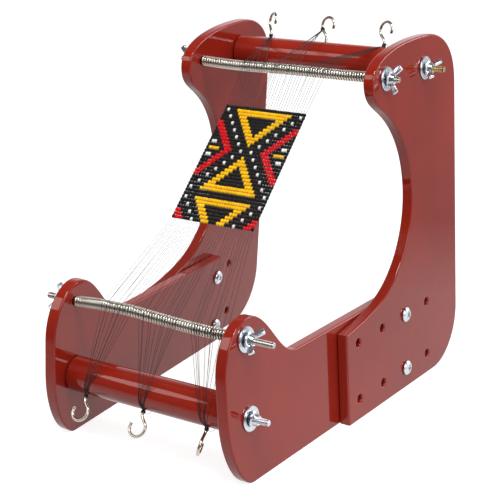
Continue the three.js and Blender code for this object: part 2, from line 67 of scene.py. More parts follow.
# Sizes that follow the CAD form. A board's outline is measured from the front beam, and
# OUTLINE_BACK leads to its zero
BOARD = 0.0075
BOARD_GAP = 0.0003
HALF_WIDTH = 0.060
OUTLINE_BACK = 0.1115
TWIST = math.radians(4.4)
BEAM_RADIUS = 0.011
ROD_RADIUS = 0.002
THREAD_DEPTH = 0.0003
SPRING_OUTSIDE = 0.00355
WASHER = 0.0012
HEXAGON_NUT = 0.0034

# Holes in a board, in mm: their radii, and for the bolts the pitch of the columns, the column
# in use and the heights
ROD_HOLE, BOLT_HOLE = 2.6, 2.7
HOLE_PITCH, BOLT_COLUMN = 31.2, 2
BOLT_LEVELS = {"lower": 12.5, "upper": 50.5}

# Screw hooks, in mm: ring radius, ring centre above the beam, depth of the screw, wire radius
HOOK_RING, HOOK_NECK, HOOK_SCREW, HOOK_WIRE = 5.4, 11.6, 7.6, 0.95


def middle_of(node):
    low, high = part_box(node)
    return (low + high) / 2


FRONT_BEAM = middle_of("front_beam")
TOP_BEAM = middle_of("top_beam")
FRONT_ROD = (middle_of("left_front_rod_washer") + middle_of("right_front_rod_washer")) / 2
TOP_ROD = (middle_of("left_top_rod_washer") + middle_of("right_top_rod_washer")) / 2
CENTRE_X = FRONT_BEAM.x


def side_frame(side):
    """Turns a point of a side frame, given as (distance out, y, z), to its place on the loom."""
    line = Vector((0, TOP_BEAM.y - FRONT_BEAM.y, TOP_BEAM.z - FRONT_BEAM.z)).normalized()
    pivot = Vector((CENTRE_X + side * HALF_WIDTH, FRONT_BEAM.y, FRONT_BEAM.z))
    return (
        Matrix.Translation(pivot)
        @ Matrix.Rotation(-side * TWIST, 4, line)
        @ Matrix.Translation((0, -FRONT_BEAM.y, -FRONT_BEAM.z))
    )


# Sizes and colours that a user would change

def length(name, description, low, high, default):
    return bpy.props.FloatProperty(
        name=name, description=description, subtype="DISTANCE", unit="LENGTH",
        min=low, max=high, default=default,
    )


def colour(name, description, default):
    return bpy.props.FloatVectorProperty(
        name=name, description=description, subtype="COLOR", size=3, min=0, max=1, default=default,
    )


class LoomPaint(bpy.types.PropertyGroup):
    colour: colour("Paint", "Colour of the enamel on the boards and beams", (0.27, 0.0155, 0.007))
    round_over: length("Round-over", "Radius of the boards' sanded edges", 0, 0.003, 0.0012)


class LoomHardware(bpy.types.PropertyGroup):
    zinc: colour("Zinc", "Colour of the zinc-plated nuts, washers and studs", (0.78, 0.83, 0.89))
    nickel: colour("Nickel", "Colour of the hooks", (0.66, 0.59, 0.51))
    lead: length("Thread lead", "Advance of a screw thread in one turn", 0.0004, 0.002, 0.0008)
    spring_wire: length("Spring wire", "Thickness of the springs' wire", 0.0005, 0.002, 0.0015)
    spring_pitch: length("Spring pitch", "Distance from turn to turn", 0.0006, 0.004, 0.0019)


class LoomBeads(bpy.types.PropertyGroup):
    columns: bpy.props.IntProperty(
        name="Columns", description="Beads across the band", min=3, max=60, default=31,
    )
    rows: bpy.props.IntProperty(
        name="Rows", description="Beads along the band", min=3, max=80, default=35,
    )
    width: length("Column pitch", "Distance between columns of beads", 0.001, 0.004, 0.0019)
    height: length("Row pitch", "Distance between rows of beads", 0.001, 0.004, 0.00263)
    thread: length("Warp thread", "Radius of a warp thread", 0.00005, 0.0005, 0.00012)


def settings(group):
    return getattr(bpy.context.scene, group)


# Materials

def new_material(name):
    """A material with only its shader and output."""
    material = bpy.data.materials.new(name)
    material.use_nodes = True
    tree = material.node_tree
    shader = tree.nodes["Principled BSDF"]
    return material, tree, shader


def add_node(tree, kind, **inputs):
    node = tree.nodes.new(kind)
    for key, value in inputs.items():
        node.inputs[key.replace("_", " ")].default_value = value
    return node


def object_noise(tree, scale, detail, stretch=(1, 1, 1)):
    place = tree.nodes.new("ShaderNodeTexCoord")
    mapping = tree.nodes.new("ShaderNodeMapping")
    mapping.inputs["Scale"].default_value = stretch
    noise = add_node(tree, "ShaderNodeTexNoise", Scale=scale, Detail=detail)
    tree.links.new(place.outputs["Object"], mapping.inputs["Vector"])
    tree.links.new(mapping.outputs["Vector"], noise.inputs["Vector"])
    return noise.outputs["Fac"]


def attribute(tree, name):
    node = tree.nodes.new("ShaderNodeAttribute")
    node.attribute_name = name
    return node.outputs["Fac"]


def ramp_between(tree, factor, low, high, start=0.3, end=0.7):
    ramp = tree.nodes.new("ShaderNodeValToRGB")
    ramp.color_ramp.elements[0].position = start
    ramp.color_ramp.elements[1].position = end
    ramp.color_ramp.elements[0].color = (*low, 1)
    ramp.color_ramp.elements[1].color = (*high, 1)
    tree.links.new(factor, ramp.inputs["Fac"])
    return ramp


def grey(value):
    return (value, value, value)


def add_bump(tree, shader, height, strength, distance):
    bump = add_node(tree, "ShaderNodeBump", Strength=strength, Distance=distance)
    tree.links.new(height, bump.inputs["Height"])
    tree.links.new(bump.outputs["Normal"], shader.inputs["Normal"])


def add_tint(tree, shader, factor, low, high, *ends):
    ramp = ramp_between(tree, factor, low, high, *ends)
    tree.links.new(ramp.outputs["Color"], shader.inputs["Base Color"])


def add_roughness(tree, shader, factor, low, high):
    ramp = ramp_between(tree, factor, grey(low), grey(high))
    tree.links.new(ramp.outputs["Color"], shader.inputs["Roughness"])


def axes(tree, output):
    """The X, Y and Z outputs of a texture coordinate."""
    place = tree.nodes.new("ShaderNodeTexCoord")
    parts = tree.nodes.new("ShaderNodeSeparateXYZ")
    tree.links.new(place.outputs[output], parts.inputs[0])
    return parts.outputs


def ranged(tree, value, start, end, low, high):
    node = add_node(
        tree, "ShaderNodeMapRange", From_Min=start, From_Max=end, To_Min=low, To_Max=high,
    )
    tree.links.new(value, node.inputs["Value"])
    return node


def product(tree, first, second):
    node = tree.nodes.new("ShaderNodeMath")
    node.operation = "MULTIPLY"
    tree.links.new(first.outputs[0], node.inputs[0])
    tree.links.new(second.outputs[0], node.inputs[1])
    return node


def mixed(tree, factor, first, second):
    node = tree.nodes.new("ShaderNodeMixShader")
    tree.links.new(factor, node.inputs[0])
    tree.links.new(first.outputs[0], node.inputs[1])
    tree.links.new(second.outputs[0], node.inputs[2])
    return node


def by_ray(tree, plain, mirrored, shown):
    """A plain shader, with others for reflections and for the camera."""
    path = tree.nodes.new("ShaderNodeLightPath")
    by_gloss = mixed(tree, path.outputs["Is Glossy Ray"], plain, mirrored)
    return mixed(tree, path.outputs["Is Camera Ray"], by_gloss, shown).outputs[0]


def scaled(base, amount):
    return tuple(min(1.0, channel * amount) for channel in base)


def enamel(name):
    """Gloss enamel on wood: wet-looking, slightly uneven in colour, with long faint brush marks."""
    material, tree, shader = new_material(name)
    base = settings("loom_paint").colour
    cloud = object_noise(tree, 16.0, 3.0)
    add_tint(tree, shader, cloud, scaled(base, 0.86), scaled(base, 1.10))
    brush = object_noise(tree, 60.0, 3.0, (1.0, 0.10, 0.5))
    add_roughness(tree, shader, brush, 0.035, 0.085)
    add_bump(tree, shader, brush, 0.05, 0.0004)
    return material


def plated(name, base, roughness):
    """Bright plated steel with faint spangles and slight handling marks."""
    material, tree, shader = new_material(name)
    spangle = object_noise(tree, 160.0, 4.0)
    add_tint(tree, shader, spangle, scaled(base, 0.93), scaled(base, 1.05))
    add_roughness(tree, shader, spangle, roughness * 0.8, roughness * 1.25)
    add_bump(tree, shader, spangle, 0.03, 0.0002)
    shader.inputs["Metallic"].default_value = 1.0
    return material


def spring_plate(name):
    """Nickel with painted shade: darker towards the inside of the wire, where the turns meet."""
    material, tree, shader = new_material(name)
    # bright is the nickel's own colour; dull is painted shade, laid by the groove mask on the
    # wire's inside between the turns
    bright, dull = (0.88, 0.83, 0.74), (0.34, 0.30, 0.25)
    add_tint(tree, shader, attribute(tree, "groove_shade"), bright, dull, 0.08, 0.45)
    shader.inputs["Metallic"].default_value = 1.0
    shader.inputs["Roughness"].default_value = 0.27
    return material


def waxed_thread(name):
    """Dark waxed thread, nearly dull: a fine twist along the piece's own UV map."""
    material, tree, shader = new_material(name)
    place = tree.nodes.new("ShaderNodeUVMap")
    twist = add_node(tree, "ShaderNodeTexWave", Scale=6.0, Distortion=0.4)
    twist.bands_direction = "DIAGONAL"
    tree.links.new(place.outputs["UV"], twist.inputs["Vector"])
    low, high = (0.022, 0.021, 0.021), (0.050, 0.047, 0.046)
    add_tint(tree, shader, twist.outputs["Fac"], low, high)
    add_bump(tree, shader, twist.outputs["Fac"], 0.3, 0.00005)
    shader.inputs["Roughness"].default_value = 0.6
    shader.inputs["Specular IOR Level"].default_value = 0.15
    return material


def seed_glass(name, base):
    """Opaque seed-bead glass, each bead a little lighter or darker than the next."""
    material, tree, shader = new_material(name)
    low, high = scaled(base, 0.84), scaled(base, 1.08)
    add_tint(tree, shader, attribute(tree, "bead_shade"), low, high, 0.0, 1.0)
    pull = object_noise(tree, 700.0, 2.0)
    add_roughness(tree, shader, pull, 0.05, 0.12)
    shader.inputs["Specular IOR Level"].default_value = 0.3
    return material


def made_once(name, make, *details):
    """A material by name, made at its first use."""
    return bpy.data.materials.get(name) or make(name, *details)


def metal(name):
    """Plated steel by name."""
    hardware = settings("loom_hardware")
    base, roughness = {
        "bright zinc": (hardware.zinc, 0.26),
        "nickel plate": (hardware.nickel, 0.16),
        "rod steel": ((0.60, 0.57, 0.53), 0.22),
        "yellow zinc": ((0.60, 0.50, 0.24), 0.26),
    }[name]
    return made_once(name, plated, base, roughness)


def paint():
    return made_once("oxblood enamel", enamel)


def thread():
    return made_once("dark waxed thread", waxed_thread)


# Shapes

def finish_piece(name, bm, materials, nodes, body, sharp=35.0, blend_to=None):
    """Writes the shape to an object and hides the CAD nodes it stands for; it rides on its body,
    and with blend_to its place is only baked in.
    """
    mesh = bpy.data.meshes.new(name)
    bm.to_mesh(mesh)
    bm.free()
    mesh.shade_smooth()
    mesh.set_sharp_from_angle(angle=math.radians(sharp))
    piece = bpy.data.objects.new(name, mesh)
    bpy.context.scene.collection.objects.link(piece)
    for material in materials:
        mesh.materials.append(material)
    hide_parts(*nodes)
    if blend_to:
        other, start, end = blend_to
        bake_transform(piece)
        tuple(start)
        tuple(end)
    else:
        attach(piece, body)
    return piece


def zinc_piece(name, bm, node, body):
    finish_piece(name, bm, [metal("bright zinc")], [node], body)


def outward(bm):
    bmesh.ops.recalc_face_normals(bm, faces=bm.faces)


def only(kind, items):
    return [item for item in items if isinstance(item, kind)]


def everything(bm):
    return [*bm.verts, *bm.edges, *bm.faces]


def round_edges(bm, angle, offset, segments):
    """Rounds the edges that are sharper than an angle in degrees."""
    sharp = [e for e in bm.edges if e.is_manifold and e.calc_face_angle() > math.radians(angle)]
    bmesh.ops.bevel(
        bm, geom=sharp, offset=offset, segments=segments, profile=0.5, affect="EDGES", material=-1,
    )


def turned_piece(profile, steps):
    """(x, radius) points turned about X; they start and end on the axis or on themselves."""
    bm = bmesh.new()
    line = [bm.verts.new((x, 0, radius)) for x, radius in profile]
    edges = [bm.edges.new(pair) for pair in pairwise(line)]
    bmesh.ops.spin(
        bm, geom=line + edges, cent=(0, 0, 0), axis=(1, 0, 0),
        angle=2 * math.pi, steps=steps, use_merge=True,
    )
    bmesh.ops.remove_doubles(bm, verts=bm.verts, dist=1e-6)
    bmesh.ops.dissolve_degenerate(bm, edges=bm.edges, dist=1e-7)
    outward(bm)
    return bm


def placed(bm, matrix):
    bmesh.ops.transform(bm, matrix=matrix, verts=bm.verts)
    return bm


def take_in(target, source):
    """Adds one shape to another."""
    mesh = bpy.data.meshes.new("part")
    source.to_mesh(mesh)
    source.free()
    target.from_mesh(mesh)
    bpy.data.meshes.remove(mesh)


def swept(points, radius, sides):
    """A tube whose ring of vertices is extruded from point to point, with the UV map along it."""
    bm = bmesh.new()
    path = [Vector(point) for point in points]
    way = [(b - a).normalized() for a, b in pairwise(path)]
    way.append(way[-1])
    heading = [way[0]] + [(a + b).normalized() for a, b in pairwise(way)]
    bmesh.ops.create_circle(bm, cap_ends=True, segments=sides, radius=radius)
    turn = Vector((0, 0, 1)).rotation_difference(heading[0]).to_matrix().to_4x4()
    placed(bm, Matrix.Translation(path[0]) @ turn)
    ring = list(bm.edges)
    for k in range(1, len(path)):
        made = bmesh.ops.extrude_edge_only(bm, edges=ring)["geom"]
        verts = only(bmesh.types.BMVert, made)
        corner = set(verts)
        ring = [e for e in only(bmesh.types.BMEdge, made) if set(e.verts) <= corner]
        bmesh.ops.translate(bm, verts=verts, vec=path[k] - path[k - 1])
        turn = heading[k - 1].rotation_difference(heading[k]).to_matrix()
        bmesh.ops.rotate(bm, verts=verts, cent=path[k], matrix=turn)
    bmesh.ops.edgeloop_fill(bm, edges=ring)
    bm.verts.index_update()
    uv = bm.loops.layers.uv.new("UVMap")
    lengths = list(accumulate(((b - a).length for a, b in pairwise(path)), initial=0.0))
    for face in bm.faces:
        for loop in face.loops:
            along = lengths[min(loop.vert.index // sides, len(lengths) - 1)]
            loop[uv].uv = (along / (2 * MM), (loop.vert.index % sides) / sides)
    outward(bm)
    return bm


def helix(section, lead, turns, steps):
    """A closed outline of (x, radius) points wound about X: one turn, then repeated."""
    one = bmesh.new()
    ring = [one.verts.new((x, 0, radius)) for x, radius in section]
    edges = [one.edges.new(pair) for pair in zip(ring, ring[1:] + ring[:1])]
    bmesh.ops.spin(
        one, geom=ring + edges, cent=(0, 0, 0), axis=(1, 0, 0), dvec=(lead / steps, 0, 0),
        angle=2 * math.pi, steps=steps,
    )
    turn = bpy.data.meshes.new("turn")
    one.to_mesh(turn)
    one.free()
    bm = bmesh.new()
    for k in range(turns):
        bmesh.ops.translate(bm, verts=bm.verts, vec=(-lead, 0, 0))
        bm.from_mesh(turn)
    bpy.data.meshes.remove(turn)
    bmesh.ops.translate(bm, verts=bm.verts, vec=(lead * (turns - 1), 0, 0))
    bmesh.ops.remove_doubles(bm, verts=bm.verts, dist=2e-6)
    bmesh.ops.edgeloop_fill(bm, edges=[edge for edge in bm.edges if edge.is_boundary])
    outward(bm)
    return bm


def screw_thread(start, end, radius, depth):
    """The helical ridge of a screw along X, closed at both ends."""
    lead = settings("loom_hardware").lead
    turns = max(1, int((end - start) / lead) - 1)
    root = radius - depth
    foot, crest, far_crest = (start + lead * share for share in (0.95, 0.42, 0.55))
    return helix([
        (start, root - depth), (start, root), (crest, radius), (far_crest, radius),
        (foot, root), (foot, root - depth),
    ], lead, turns, 14)


def chamfered_bar(start, end, radius):
    chamfer = 0.0004
    return turned_piece([
        (start, 0), (start, radius - chamfer), (start + chamfer, radius),
        (end - chamfer, radius), (end, radius - chamfer), (end, 0),
    ], 24)


def threaded_bar(bm, start, end, centre):
    """Adds a threaded bar along X, through the y and z of its centre."""
    place = Matrix.Translation((0, centre.y, centre.z))
    core = chamfered_bar(start, end, ROD_RADIUS - THREAD_DEPTH * 0.6)
    ridge = screw_thread(start + 0.0003, end - 0.0003, ROD_RADIUS, THREAD_DEPTH)
    take_in(bm, placed(core, place))
    take_in(bm, placed(ridge, place))


def washer_shape():
    """Flat washer from x 0 to its thickness, rounded where it was punched."""
    inner, outer = 0.00245, 0.0076
    return turned_piece([
        (0, inner), (0, outer - 0.0001), (WASHER * 0.3, outer), (WASHER * 0.7, outer),
        (WASHER, outer - 0.0003), (WASHER, inner + 0.0002), (WASHER - 0.0002, inner), (0, inner),
    ], 56)


def wing_nut_shape():
    """Forged wing nut along +X: a low collar, a coned hub, a bored middle and two broad wings."""
    bore = 0.0021
    bm = turned_piece([
        (0, bore + 0.0003), (0, 0.0045), (0.0003, 0.0048), (0.0009, 0.0048), (0.0012, 0.0045),
        (0.0014, 0.0036), (0.0034, 0.0031), (0.0040, 0.0028), (0.0040, bore + 0.0004),
        (0.0036, bore), (0.0003, bore), (0, bore + 0.0003),
    ], 40)
    outline = (
        (0.0009, 0.0027), (0.0034, 0.0027), (0.0044, 0.0033), (0.0053, 0.0041),
        (0.0076, 0.0068), (0.0074, 0.0074), (0.0056, 0.0092), (0.0050, 0.0094),
        (0.0044, 0.0091), (0.0026, 0.0070), (0.0015, 0.0056), (0.0009, 0.0044),
    )
    thick = 0.0020
    for turn in (0, math.pi):
        wing = bmesh.new()
        face = wing.faces.new([wing.verts.new((x, y, -thick / 2)) for x, y in outline])
        top = bmesh.ops.extrude_face_region(wing, geom=[face])["geom"]
        bmesh.ops.translate(wing, verts=only(bmesh.types.BMVert, top), vec=(0, 0, thick))
        outward(wing)
        round_edges(wing, 70, 0.0005, 3)
        take_in(bm, placed(wing, Matrix.Rotation(turn, 4, "X")))
    return bm


def pan_head_shape(seat, nut_face):
    """Pan-head screw with a cross recess, its head towards +X and its tail past the nut."""
    bm = bmesh.new()
    head = turned_piece([
        (0, 0), (0, 0.0045), (0.0003, 0.0049), (0.0009, 0.0049), (0.0018, 0.0041),
        (0.0023, 0.0031), (0.00258, 0.0018), (0.0026, 0),
    ], 48)
    slot_half, slot_reach, slot_depth = 0.00055, 0.0021, 0.0012
    for size in (slot_half, slot_reach):
        for way in (Vector((0, 1, 0)), Vector((0, 0, 1))):
            for sign in (-1, 1):
                bmesh.ops.bisect_plane(
                    head, geom=everything(head), dist=1e-7,
                    plane_co=way * size * sign, plane_no=way,
                )

    def in_recess(face):
        spot = face.calc_center_median()
        narrow, wide = sorted((abs(spot.y), abs(spot.z)))
        return spot.x > 0.0018 and narrow < slot_half and wide < slot_reach

    recess = [face for face in head.faces if in_recess(face)]
    sunk = only(bmesh.types.BMVert, bmesh.ops.extrude_face_region(head, geom=recess)["geom"])
    bmesh.ops.delete(head, geom=recess, context="FACES_ONLY")
    bmesh.ops.translate(head, verts=sunk, vec=(-slot_depth, 0, 0))
    outward(head)
    take_in(bm, placed(head, Matrix.Translation((seat, 0, 0))))
    take_in(bm, chamfered_bar(nut_face - 0.005, seat + 0.0002, 0.0021))
    take_in(bm, screw_thread(nut_face - 0.0048, nut_face, 0.0024, 0.0004))
    return bm


def hexagon_nut_shape():
    """Hexagon nut from x 0 to its height, its ends set in and hollowed round the screw."""
    bm = bmesh.new()
    corner = 0.0046
    bmesh.ops.create_cone(
        bm, cap_ends=True, segments=6, radius1=corner, radius2=corner, depth=HEXAGON_NUT,
    )
    place = Matrix.Translation((HEXAGON_NUT / 2, 0, 0)) @ Matrix.Rotation(math.pi / 2, 4, "Y")
    placed(bm, place)
    ends = [face for face in bm.faces if abs(face.normal.x) > 0.9]
    bmesh.ops.inset_region(bm, faces=ends, thickness=0.0006, depth=0.00025)
    bmesh.ops.inset_region(bm, faces=ends, thickness=0.0009, depth=0)
    bmesh.ops.inset_region(bm, faces=ends, thickness=0.0002, depth=-0.0006)
    outward(bm)
    return bm


def hook_shape():
    """Round screw hook that stands on +Y with its ring in the XY plane."""
    points = [(0, -HOOK_SCREW), (0, -4), (0, 0), (0, 2.2), (0.15, 3.6), (0.9, 4.9)]
    first, last, steps = -52, 205, 30
    for k in range(steps + 1):
        angle = math.radians(first + (last - first) * k / steps)
        points.append((HOOK_RING * math.cos(angle), HOOK_NECK + HOOK_RING * math.sin(angle)))
    bm = swept([(x * MM, y * MM, 0) for x, y in points], HOOK_WIRE * MM, 12)
    round_edges(bm, 60, 0.0003, 2)
    return bm


# Each rod's place, the rise of its middle and the sizes of its waves
RODS = {
    "front": (FRONT_ROD, 0.0020, (-0.0009, 0.00095, 0.0003)),
    "top": (TOP_ROD, 0.0006, (-0.0012, -0.0003, -0.0002)),
}


def rod_line(end):
    """Centre line of a rod and its spring, lifted by the warp and a little crooked."""
    low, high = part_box(end + "_spring")
    half = (high.x - low.x) / 2
    place, rise, sway = RODS[end]

    def line(x):
        share = max(-1, min(1, (x - CENTRE_X) / half))
        lift = rise * (1 + math.cos(math.pi * share)) / 2
        phase = math.pi * (share + 1) / 2
        bent = sum(size * math.sin(phase * k) for k, size in enumerate(sway, 1))
        return Vector((x, place.y + lift / 2, place.z + lift * math.sqrt(3) / 2 + bent))
    return line


# Boards and beams

def arc_bends(centre, radius, start, end):
    """An arc as cubic bends of at most a quarter turn: (first handle, second handle, end point)."""
    count = math.ceil(abs(end - start) / 90)
    step = math.radians(end - start) / count
    reach = 4 / 3 * math.tan(step / 4) * radius
    bends = []
    for k in range(count):
        a, b = (math.radians(start) + step * (k + turn) for turn in (0, 1))
        p, q = (Vector(centre) + radius * Vector((math.cos(t), math.sin(t))) for t in (a, b))
        leave, arrive = (reach * Vector((-math.sin(t), math.cos(t))) for t in (a, b))
        bends.append((p + leave, q - arrive, q))
    return bends


def straight(*points):
    return [(None, None, Vector(point)) for point in points]


def bend(*numbers):
    return [tuple(Vector(numbers[k:k + 2]) for k in (0, 2, 4))]


def front_outline():
    return (
        straight((-107.5, -2)) + bend(-121.5, -1, -132.5, 22, -132.5, 46) + straight((-132.5, 66.5))
        + bend(-132.5, 86.5, -119.5, 99.5, -107.5, 99.5) + bend(-87.5, 99.5, -76.5, 65, -59.5, 65)
        + straight((66.5, 65)) + arc_bends((66.5, 57), 8, 90, 0) + straight((74.5, -2))
    )


def rear_outline():
    waist, radius = (7.4, 132), 67.3
    bay = arc_bends(waist, radius, 56, -72)
    high = Vector(waist) + radius * Vector((math.cos(math.radians(56)), math.sin(math.radians(56))))
    low = bay[-1][2]
    return (
        straight((102, -2)) + arc_bends((102, 36), 38, -90, 0) + straight((140, 197))
        + bend(140, 223, 120, 233, 98, 233) + bend(66, 233, 26.4, 228, 26.4, 210)
        + bend(26.4, 197, high.x - 8, high.y + 6, high.x, high.y) + bay
        + bend(low.x - 12, low.y - 4, 0, 61, -14, 59.5) + straight((-14, -2))
    )


def add_spline(curve, bends):
    """A closed spline through the ends of its bends, in metres."""
    spline = curve.splines.new("BEZIER")
    spline.bezier_points.add(len(bends) - 1)
    spline.use_cyclic_u = True
    for k, (_, into, spot) in enumerate(bends):
        point = spline.bezier_points[k]
        away = bends[(k + 1) % len(bends)][0]
        point.handle_left_type = point.handle_right_type = "FREE"
        point.co = (*spot * MM, 0)
        point.handle_left = (*(into or spot) * MM, 0)
        point.handle_right = (*(away or spot) * MM, 0)


def board_shape(bends, holes):
    """A flat curve with its holes, raised to a board with round edges about its middle plane."""
    round_over = settings("loom_paint").round_over
    curve = bpy.data.curves.new("outline", "CURVE")
    curve.dimensions = "2D"
    curve.fill_mode = "BOTH"
    curve.resolution_u = 20
    curve.extrude = BOARD / 2 - round_over
    curve.bevel_depth = round_over
    curve.bevel_resolution = 3
    curve.offset = -round_over
    add_spline(curve, bends)
    for centre, radius in holes:
        add_spline(curve, arc_bends(centre, radius, 360, 0))
    holder = bpy.data.objects.new("outline", curve)
    bm = bmesh.new()
    bm.from_mesh(holder.to_mesh())
    holder.to_mesh_clear()
    bpy.data.objects.remove(holder)
    bpy.data.curves.remove(curve)
    bmesh.ops.remove_doubles(bm, verts=bm.verts, dist=2e-6)
    return bm


def level_spot(side, place, depth):
    """Where a level line at a place meets a board's plane at a depth, in the side frame."""
    inverse = side_frame(side).inverted()
    near, far = (inverse @ Vector((x, place.y, place.z)) for x in (0, 1))
    spot = near.lerp(far, (side * depth - near.x) / (far.x - near.x))
    return Vector(((spot.y - FRONT_BEAM.y - OUTLINE_BACK) / MM, spot.z / MM))


class LOOM_OT_boards(bpy.types.Operator):
    """Painted boards with sanded edges"""
    bl_idname = "loom.boards"
    bl_label = "Boards"

    def execute(self, context):
        kinds = (
            ("front", 0, front_outline(), (BOLT_COLUMN,), (FRONT_ROD, FRONT_BEAM)),
            ("rear", BOARD + BOARD_GAP, rear_outline(), range(4), (TOP_ROD, TOP_BEAM)),
        )
        for name, side in SIDES.items():
            for which, inner, outline, columns, places in kinds:
                depth = inner + BOARD / 2
                holes = [(level_spot(side, place, depth), ROD_HOLE) for place in places]
                holes += [
                    (Vector((HOLE_PITCH * k, z)), BOLT_HOLE)
                    for k in columns for z in BOLT_LEVELS.values()
                ]
                upright = Matrix((
                    (0, 0, side, side * depth), (1, 0, 0, FRONT_BEAM.y + OUTLINE_BACK),
                    (0, 1, 0, 0), (0, 0, 0, 1),
                ))
                bm = placed(board_shape(outline, holes), side_frame(side) @ upright)
                cut = bmesh.ops.bisect_plane(
                    bm, geom=everything(bm), dist=1e-7,
                    plane_co=(0, 0, 0), plane_no=(0, 0, 1), clear_inner=True,
                )["geom_cut"]
                bmesh.ops.holes_fill(bm, edges=only(bmesh.types.BMEdge, cut))
                outward(bm)
                node = f"{name}_{which}_board"
                piece = finish_piece(
                    node + "_painted", bm, [paint()], [node], "frame", 32,
                )
                even = piece.modifiers.new("even shading", "WEIGHTED_NORMAL")
                even.keep_sharp = True
        return {"FINISHED"}


class LOOM_OT_beams(bpy.types.Operator):
    """Painted dowels with eased ends"""
    bl_idname = "loom.beams"
    bl_label = "Beams"

    def execute(self, context):
        for end in ("front", "top"):
            low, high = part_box(end + "_beam")
            bm = bmesh.new()
            bmesh.ops.create_cone(
                bm, cap_ends=True, segments=96, radius1=BEAM_RADIUS, radius2=BEAM_RADIUS,
                depth=high.x - low.x,
            )
            lying = Matrix.Translation((low + high) / 2) @ Matrix.Rotation(math.pi / 2, 4, "Y")
            placed(bm, lying)
            round_edges(bm, 60, 0.0011, 4)
            outward(bm)
            body = end + "_beam_assembly"
            finish_piece(end + "_dowel", bm, [paint()], [end + "_beam"], body)
        return {"FINISHED"}


# Hardware

class LOOM_OT_rods(bpy.types.Operator):
    """Threaded rods through the springs and threaded studs in the beams"""
    bl_idname = "loom.rods"
    bl_label = "Rods and studs"

    def execute(self, context):
        overlap = 0.003
        for end, (place, _, _) in RODS.items():
            low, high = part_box(end + "_rod")
            line = rod_line(end)
            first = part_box(f"left_{end}_rod_washer")[1].x
            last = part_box(f"right_{end}_rod_washer")[0].x
            stops = [first + (last - first) * k / 24 for k in range(25)]
            bm = bmesh.new()
            take_in(bm, swept([line(x) for x in stops], ROD_RADIUS - THREAD_DEPTH, 16))
            threaded_bar(bm, low.x, first + overlap, place)
            threaded_bar(bm, last - overlap, high.x, place)
            finish_piece(
                end + "_threaded_rod", bm, [metal("rod steel")], [end + "_rod"], "frame",
            )
        for end, centre in (("front", FRONT_BEAM), ("top", TOP_BEAM)):
            for side in SIDES:
                node = f"{side}_{end}_beam_stud"
                low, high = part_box(node)
                bm = bmesh.new()
                threaded_bar(bm, low.x, high.x, centre)
                yellow = node == "right_top_beam_stud"
                finish_piece(
                    node + "_threaded", bm, [metal("yellow zinc" if yellow else "bright zinc")],
                    [node], end + "_beam_assembly",
                )
        return {"FINISHED"}


class LOOM_OT_springs(bpy.types.Operator):
    """Closely wound coil springs that space the warp"""
    bl_idname = "loom.springs"
    bl_label = "Springs"

    def execute(self, context):
        wire = settings("loom_hardware").spring_wire
        pitch = settings("loom_hardware").spring_pitch
        for end in RODS:
            node = end + "_spring"
            low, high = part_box(node)
            line = rod_line(end)
            turns = int((high.x - low.x - wire * 1.2) / pitch)
            first = low.x + (high.x - low.x - turns * pitch) / 2
            middle = SPRING_OUTSIDE - wire / 2
            section = [
                (first + wire / 2 * math.cos(angle), middle + wire / 2 * math.sin(angle))
                for angle in (math.radians(45 * k) for k in range(8))
            ]
            bm = helix(section, pitch, turns, 24)
            # Mask of painted shade: 0 on the outside of the wire, 1 on its inside towards the rod,
            # where the turns meet
            groove_shade = bm.verts.layers.float.new("groove_shade")
            for vert in bm.verts:
                vert[groove_shade] = (SPRING_OUTSIDE - math.hypot(vert.co.y, vert.co.z)) / wire
                vert.co += line(vert.co.x) - Vector((vert.co.x, 0, 0))
            plate = made_once("spring nickel", spring_plate)
            finish_piece(end + "_coil_spring", bm, [plate], [node], "frame", 60)
        return {"FINISHED"}


CLAMPS = {
    "front_rod": (FRONT_ROD, {"left": 130, "right": 33}),
    "top_rod": (TOP_ROD, {"left": 90, "right": 67}),
    "front_beam": (FRONT_BEAM, {"left": 20, "right": -36}),
    "top_beam": (TOP_BEAM, {"left": 15, "right": 33}),
}


class LOOM_OT_clamps(bpy.types.Operator):
    """Flat washers and wing nuts on the rods and studs"""
    bl_idname = "loom.clamps"
    bl_label = "Washers and wing nuts"

    def execute(self, context):
        for side, sign in SIDES.items():
            lean = side_frame(sign).to_3x3().to_4x4()
            out = Matrix.Rotation(0 if sign > 0 else math.pi, 4, "Z")
            for clamp, (centre, angles) in CLAMPS.items():
                name = f"{side}_{clamp}"
                node = name + "_washer"
                seat = middle_of(node) - lean @ Vector((sign * WASHER / 2, 0, 0))
                washer = placed(washer_shape(), Matrix.Translation(seat) @ lean @ out)
                zinc_piece(name + "_flat_washer", washer, node, node + "_body")
                node = name + "_wing_nut"
                low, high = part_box(node)
                base = Matrix.Translation((low.x if sign > 0 else high.x, centre.y, centre.z))
                turn = Matrix.Rotation(math.radians(angles[side]), 4, "X")
                nut = placed(wing_nut_shape(), base @ out @ turn)
                zinc_piece(name + "_forged_wing_nut", nut, node, node + "_body")
        return {"FINISHED"}


class LOOM_OT_bolts(bpy.types.Operator):
    """Pan-head screws and hexagon nuts that hold the boards together"""
    bl_idname = "loom.bolts"
    bl_label = "Bolts"

    def execute(self, context):
        both, clear = 2 * BOARD + BOARD_GAP, 0.0003
        y = FRONT_BEAM.y + OUTLINE_BACK + HOLE_PITCH * BOLT_COLUMN * MM
        turns = {"lower": -12, "upper": 25}
        for side, sign in SIDES.items():
            low_face, high_face = (0, both) if sign > 0 else (-both, 0)
            seat, nut_face = high_face + clear, low_face - clear
            for level, z in BOLT_LEVELS.items():
                place = side_frame(sign) @ Matrix.Translation((0, y, z * MM))
                turned = Matrix.Rotation(math.radians(turns[level]), 4, "X")
                node = f"{side}_{level}_bolt"
                screw = placed(pan_head_shape(seat, nut_face), place @ turned)
                zinc_piece(node + "_pan_head", screw, node, "frame")
                seated = Matrix.Translation((nut_face - HEXAGON_NUT, 0, 0))
                nut = placed(hexagon_nut_shape(), place @ seated)
                zinc_piece(node + "_hexagon_nut", nut, node + "_nut", "frame")
        return {"FINISHED"}


